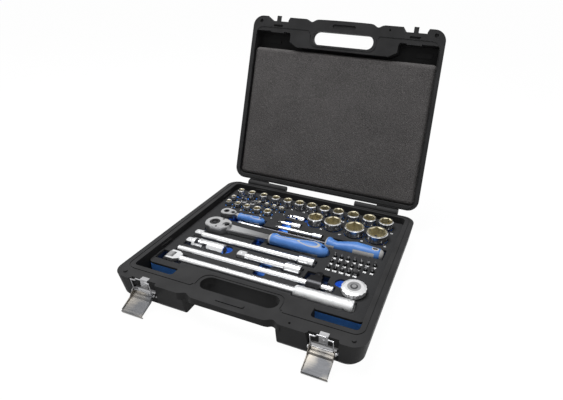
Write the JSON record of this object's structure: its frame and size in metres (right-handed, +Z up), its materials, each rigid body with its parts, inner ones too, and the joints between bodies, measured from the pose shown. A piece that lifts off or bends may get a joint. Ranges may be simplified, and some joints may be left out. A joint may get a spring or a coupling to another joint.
{
  "type": "socket wrench set in case",
  "caption": "Open tool case with hinged lid, over-centre latches and a foam tray of ratchets, handles, extensions, sockets and driver bits.",
  "frame": {"origin": "centre of the underside of the case base, on the ground", "axes": "+X to the right, +Y to the back where the hinges are, +Z up"},
  "size_m": [0.44, 0.5712, 0.4174],
  "materials": {
    "case_plastic": "satin",
    "steel": "satin",
    "foam_black": "matte",
    "foam_blue": "matte",
    "foam_grey": "matte",
    "latch_steel": "polished",
    "satin_steel": "satin",
    "grip_blue": "satin",
    "black_steel": "satin",
    "chrome": "polished"
  },
  "bodies": {
    "case": {"base_shell": "case_plastic", "hinge_pins": "steel", "latch_plates": "steel", "latch_rivets": "steel", "tray_foam_top": "foam_black", "tray_foam_base": "foam_blue"},
    "lid": {"lid_shell": "case_plastic", "lid_foam": "foam_grey"},
    "left_lever": {"left_latch_lever": "latch_steel"},
    "right_lever": {"right_latch_lever": "latch_steel"},
    "left_bail": {"left_latch_bail": "latch_steel"},
    "right_bail": {"right_latch_bail": "latch_steel"},
    "half_ratchet": {"half_ratchet_body": "satin_steel", "half_ratchet_grip": "grip_blue", "half_ratchet_screws": "black_steel"},
    "half_ratchet_gear": {"half_ratchet_drive": "black_steel"},
    "half_ratchet_release": {"half_ratchet_button": "black_steel"},
    "half_ratchet_switch": {"half_ratchet_lever": "black_steel"},
    "flex_handle": {"flex_handle_bar": "chrome", "flex_handle_grip": "satin_steel", "flex_handle_pin": "steel"},
    "flex_head": {"flex_handle_head": "satin_steel"},
    "sliding_handle": {"sliding_bar": "chrome"},
    "sliding_handle_head": {"sliding_head": "black_steel"},
    "long_extension": {"half_extension_long": "chrome"},
    "short_extension": {"half_extension_short": "chrome"},
    "half_joint": {"half_joint_yoke": "chrome", "half_joint_cross": "satin_steel"},
    "half_joint_end": {"half_joint_square": "chrome"},
    "thumb_ratchet": {"thumb_ratchet_disc": "chrome"},
    "thumb_ratchet_gear": {"thumb_ratchet_drive": "satin_steel"},
    "quarter_ratchet": {"quarter_ratchet_body": "satin_steel", "quarter_ratchet_grip": "grip_blue"},
    "quarter_ratchet_gear": {"quarter_ratchet_drive": "black_steel"},
    "quarter_ratchet_switch": {"quarter_ratchet_lever": "black_steel"},
    "spinner": {"spinner_grip": "grip_blue", "spinner_shaft": "chrome"},
    "quarter_long_extension": {"quarter_extension_long": "chrome"},
    "quarter_short_extension": {"quarter_extension_short": "chrome"},
    "quarter_joint": {"quarter_joint_yoke": "chrome"},
    "quarter_joint_end": {"quarter_joint_square": "chrome"},
    "small_sockets": {"quarter_sockets": "chrome"},
    "adaptors": {"bit_adaptors": "chrome"},
    "bits": {"driver_bits": "black_steel"},
    "socket_10": {"half_socket_10": "chrome"},
    "socket_11": {"half_socket_11": "chrome"},
    "socket_12": {"half_socket_12": "chrome"},
    "socket_13": {"half_socket_13": "chrome"},
    "socket_14": {"half_socket_14": "chrome"},
    "socket_15": {"half_socket_15": "chrome"},
    "socket_16": {"half_socket_16": "chrome"},
    "socket_17": {"half_socket_17": "chrome"},
    "socket_18": {"half_socket_18": "chrome"},
    "socket_19": {"half_socket_19": "chrome"},
    "socket_21": {"half_socket_21": "chrome"},
    "socket_22": {"half_socket_22": "chrome"},
    "socket_24": {"half_socket_24": "chrome"},
    "socket_27": {"half_socket_27": "chrome"},
    "socket_30": {"half_socket_30": "chrome"},
    "socket_32": {"half_socket_32": "chrome"}
  },
  "joints": [
    {"name": "lid_hinge", "type": "hinge", "parent": "case", "child": "lid", "pos_m": [0, 0.1984, 0.047], "axis": [-1, 0, 0], "range_deg": [-108.3, 0]},
    {"name": "left_latch", "type": "hinge", "parent": "case", "child": "left_lever", "pos_m": [-0.157, -0.189, 0.0238], "axis": [1, 0, 0], "range_deg": [-113, 0]},
    {"name": "left_bail_turn", "type": "hinge", "parent": "left_lever", "child": "left_bail", "pos_m": [-0.157, -0.18956, 0.02695], "axis": [1, 0, 0], "range_deg": [0, 103.3]},
    {"name": "right_latch", "type": "hinge", "parent": "case", "child": "right_lever", "pos_m": [0.157, -0.189, 0.0238], "axis": [1, 0, 0], "range_deg": [-113, 0]},
    {"name": "right_bail_turn", "type": "hinge", "parent": "right_lever", "child": "right_bail", "pos_m": [0.157, -0.18956, 0.02695], "axis": [1, 0, 0], "range_deg": [0, 103.3]},
    {"name": "half_ratchet_turn", "type": "hinge", "parent": "half_ratchet", "child": "half_ratchet_gear", "pos_m": [-0.153, 0.0135, 0.039], "axis": [0, 0, 1], "continuous": true},
    {"name": "half_ratchet_press", "type": "slide", "parent": "half_ratchet_gear", "child": "half_ratchet_release", "axis": [0, 0, 1], "range_m": [-0.001, 0], "stiffness_N_per_m": 300, "springref_m": 0.002},
    {"name": "half_ratchet_reverse", "type": "hinge", "parent": "half_ratchet", "child": "half_ratchet_switch", "pos_m": [-0.127, 0.0135, 0.048], "axis": [0, 0, 1], "range_deg": [0, 140]},
    {"name": "flex_head_swivel", "type": "hinge", "parent": "flex_handle", "child": "flex_head", "pos_m": [-0.173, -0.0995, 0.0325], "axis": [0, 1, 0], "range_deg": [0, 180]},
    {"name": "sliding_head_travel", "type": "slide", "parent": "sliding_handle", "child": "sliding_handle_head", "axis": [1, 0, 0], "range_m": [-0.012, 0.007]},
    {"name": "half_joint_bend", "type": "hinge", "parent": "half_joint", "child": "half_joint_end", "pos_m": [-0.143, -0.046, 0.0315], "axis": [0, 1, 0], "range_deg": [0, 40]},
    {"name": "thumb_ratchet_turn", "type": "hinge", "parent": "thumb_ratchet", "child": "thumb_ratchet_gear", "pos_m": [0.1645, -0.064, 0.04], "axis": [0, 0, 1], "continuous": true},
    {"name": "quarter_ratchet_turn", "type": "hinge", "parent": "quarter_ratchet", "child": "quarter_ratchet_gear", "pos_m": [-0.159, 0.066, 0.037], "axis": [0, 0, 1], "continuous": true},
    {"name": "quarter_ratchet_reverse", "type": "hinge", "parent": "quarter_ratchet", "child": "quarter_ratchet_switch", "pos_m": [-0.144, 0.066, 0.042], "axis": [0, 0, 1], "range_deg": [0, 120]},
    {"name": "quarter_joint_bend", "type": "hinge", "parent": "quarter_joint", "child": "quarter_joint_end", "pos_m": [-0.022, 0.1135, 0.0315], "axis": [0, 1, 0], "range_deg": [0, 40]},
    {"name": "half_ratchet_lift", "type": "slide", "parent": "case", "child": "half_ratchet", "axis": [0, 0, 1], "range_m": [0, 0.06]},
    {"name": "flex_handle_lift", "type": "slide", "parent": "case", "child": "flex_handle", "axis": [0, 0, 1], "range_m": [0, 0.06]},
    {"name": "sliding_handle_lift", "type": "slide", "parent": "case", "child": "sliding_handle", "axis": [0, 0, 1], "range_m": [0, 0.06]},
    {"name": "long_extension_lift", "type": "slide", "parent": "case", "child": "long_extension", "axis": [0, 0, 1], "range_m": [0, 0.06]},
    {"name": "short_extension_lift", "type": "slide", "parent": "case", "child": "short_extension", "axis": [0, 0, 1], "range_m": [0, 0.06]},
    {"name": "half_joint_lift", "type": "slide", "parent": "case", "child": "half_joint", "axis": [0, 0, 1], "range_m": [0, 0.06]},
    {"name": "thumb_ratchet_lift", "type": "slide", "parent": "case", "child": "thumb_ratchet", "axis": [0, 0, 1], "range_m": [0, 0.06]},
    {"name": "quarter_ratchet_lift", "type": "slide", "parent": "case", "child": "quarter_ratchet", "axis": [0, 0, 1], "range_m": [0, 0.06]},
    {"name": "spinner_lift", "type": "slide", "parent": "case", "child": "spinner", "axis": [0, 0, 1], "range_m": [0, 0.06]},
    {"name": "quarter_long_extension_lift", "type": "slide", "parent": "case", "child": "quarter_long_extension", "axis": [0, 0, 1], "range_m": [0, 0.06]},
    {"name": "quarter_short_extension_lift", "type": "slide", "parent": "case", "child": "quarter_short_extension", "axis": [0, 0, 1], "range_m": [0, 0.06]},
    {"name": "quarter_joint_lift", "type": "slide", "parent": "case", "child": "quarter_joint", "axis": [0, 0, 1], "range_m": [0, 0.06]},
    {"name": "small_sockets_lift", "type": "slide", "parent": "case", "child": "small_sockets", "axis": [0, 0, 1], "range_m": [0, 0.06]},
    {"name": "adaptors_lift", "type": "slide", "parent": "case", "child": "adaptors", "axis": [0, 0, 1], "range_m": [0, 0.06]},
    {"name": "bits_lift", "type": "slide", "parent": "case", "child": "bits", "axis": [0, 0, 1], "range_m": [0, 0.06]},
    {"name": "socket_10_lift", "type": "slide", "parent": "case", "child": "socket_10", "axis": [0, 0, 1], "range_m": [0, 0.06]},
    {"name": "socket_11_lift", "type": "slide", "parent": "case", "child": "socket_11", "axis": [0, 0, 1], "range_m": [0, 0.06]},
    {"name": "socket_12_lift", "type": "slide", "parent": "case", "child": "socket_12", "axis": [0, 0, 1], "range_m": [0, 0.06]},
    {"name": "socket_13_lift", "type": "slide", "parent": "case", "child": "socket_13", "axis": [0, 0, 1], "range_m": [0, 0.06]},
    {"name": "socket_14_lift", "type": "slide", "parent": "case", "child": "socket_14", "axis": [0, 0, 1], "range_m": [0, 0.06]},
    {"name": "socket_15_lift", "type": "slide", "parent": "case", "child": "socket_15", "axis": [0, 0, 1], "range_m": [0, 0.06]},
    {"name": "socket_16_lift", "type": "slide", "parent": "case", "child": "socket_16", "axis": [0, 0, 1], "range_m": [0, 0.06]},
    {"name": "socket_17_lift", "type": "slide", "parent": "case", "child": "socket_17", "axis": [0, 0, 1], "range_m": [0, 0.06]},
    {"name": "socket_18_lift", "type": "slide", "parent": "case", "child": "socket_18", "axis": [0, 0, 1], "range_m": [0, 0.06]},
    {"name": "socket_19_lift", "type": "slide", "parent": "case", "child": "socket_19", "axis": [0, 0, 1], "range_m": [0, 0.06]},
    {"name": "socket_21_lift", "type": "slide", "parent": "case", "child": "socket_21", "axis": [0, 0, 1], "range_m": [0, 0.06]},
    {"name": "socket_22_lift", "type": "slide", "parent": "case", "child": "socket_22", "axis": [0, 0, 1], "range_m": [0, 0.06]},
    {"name": "socket_24_lift", "type": "slide", "parent": "case", "child": "socket_24", "axis": [0, 0, 1], "range_m": [0, 0.06]},
    {"name": "socket_27_lift", "type": "slide", "parent": "case", "child": "socket_27", "axis": [0, 0, 1], "range_m": [0, 0.06]},
    {"name": "socket_30_lift", "type": "slide", "parent": "case", "child": "socket_30", "axis": [0, 0, 1], "range_m": [0, 0.06]},
    {"name": "socket_32_lift", "type": "slide", "parent": "case", "child": "socket_32", "axis": [0, 0, 1], "range_m": [0, 0.06]}
  ],
  "couplings": [
    {"joint": "left_bail_turn", "follows": "left_latch", "ratio": -0.91416},
    {"joint": "right_bail_turn", "follows": "right_latch", "ratio": -0.91416}
  ]
}
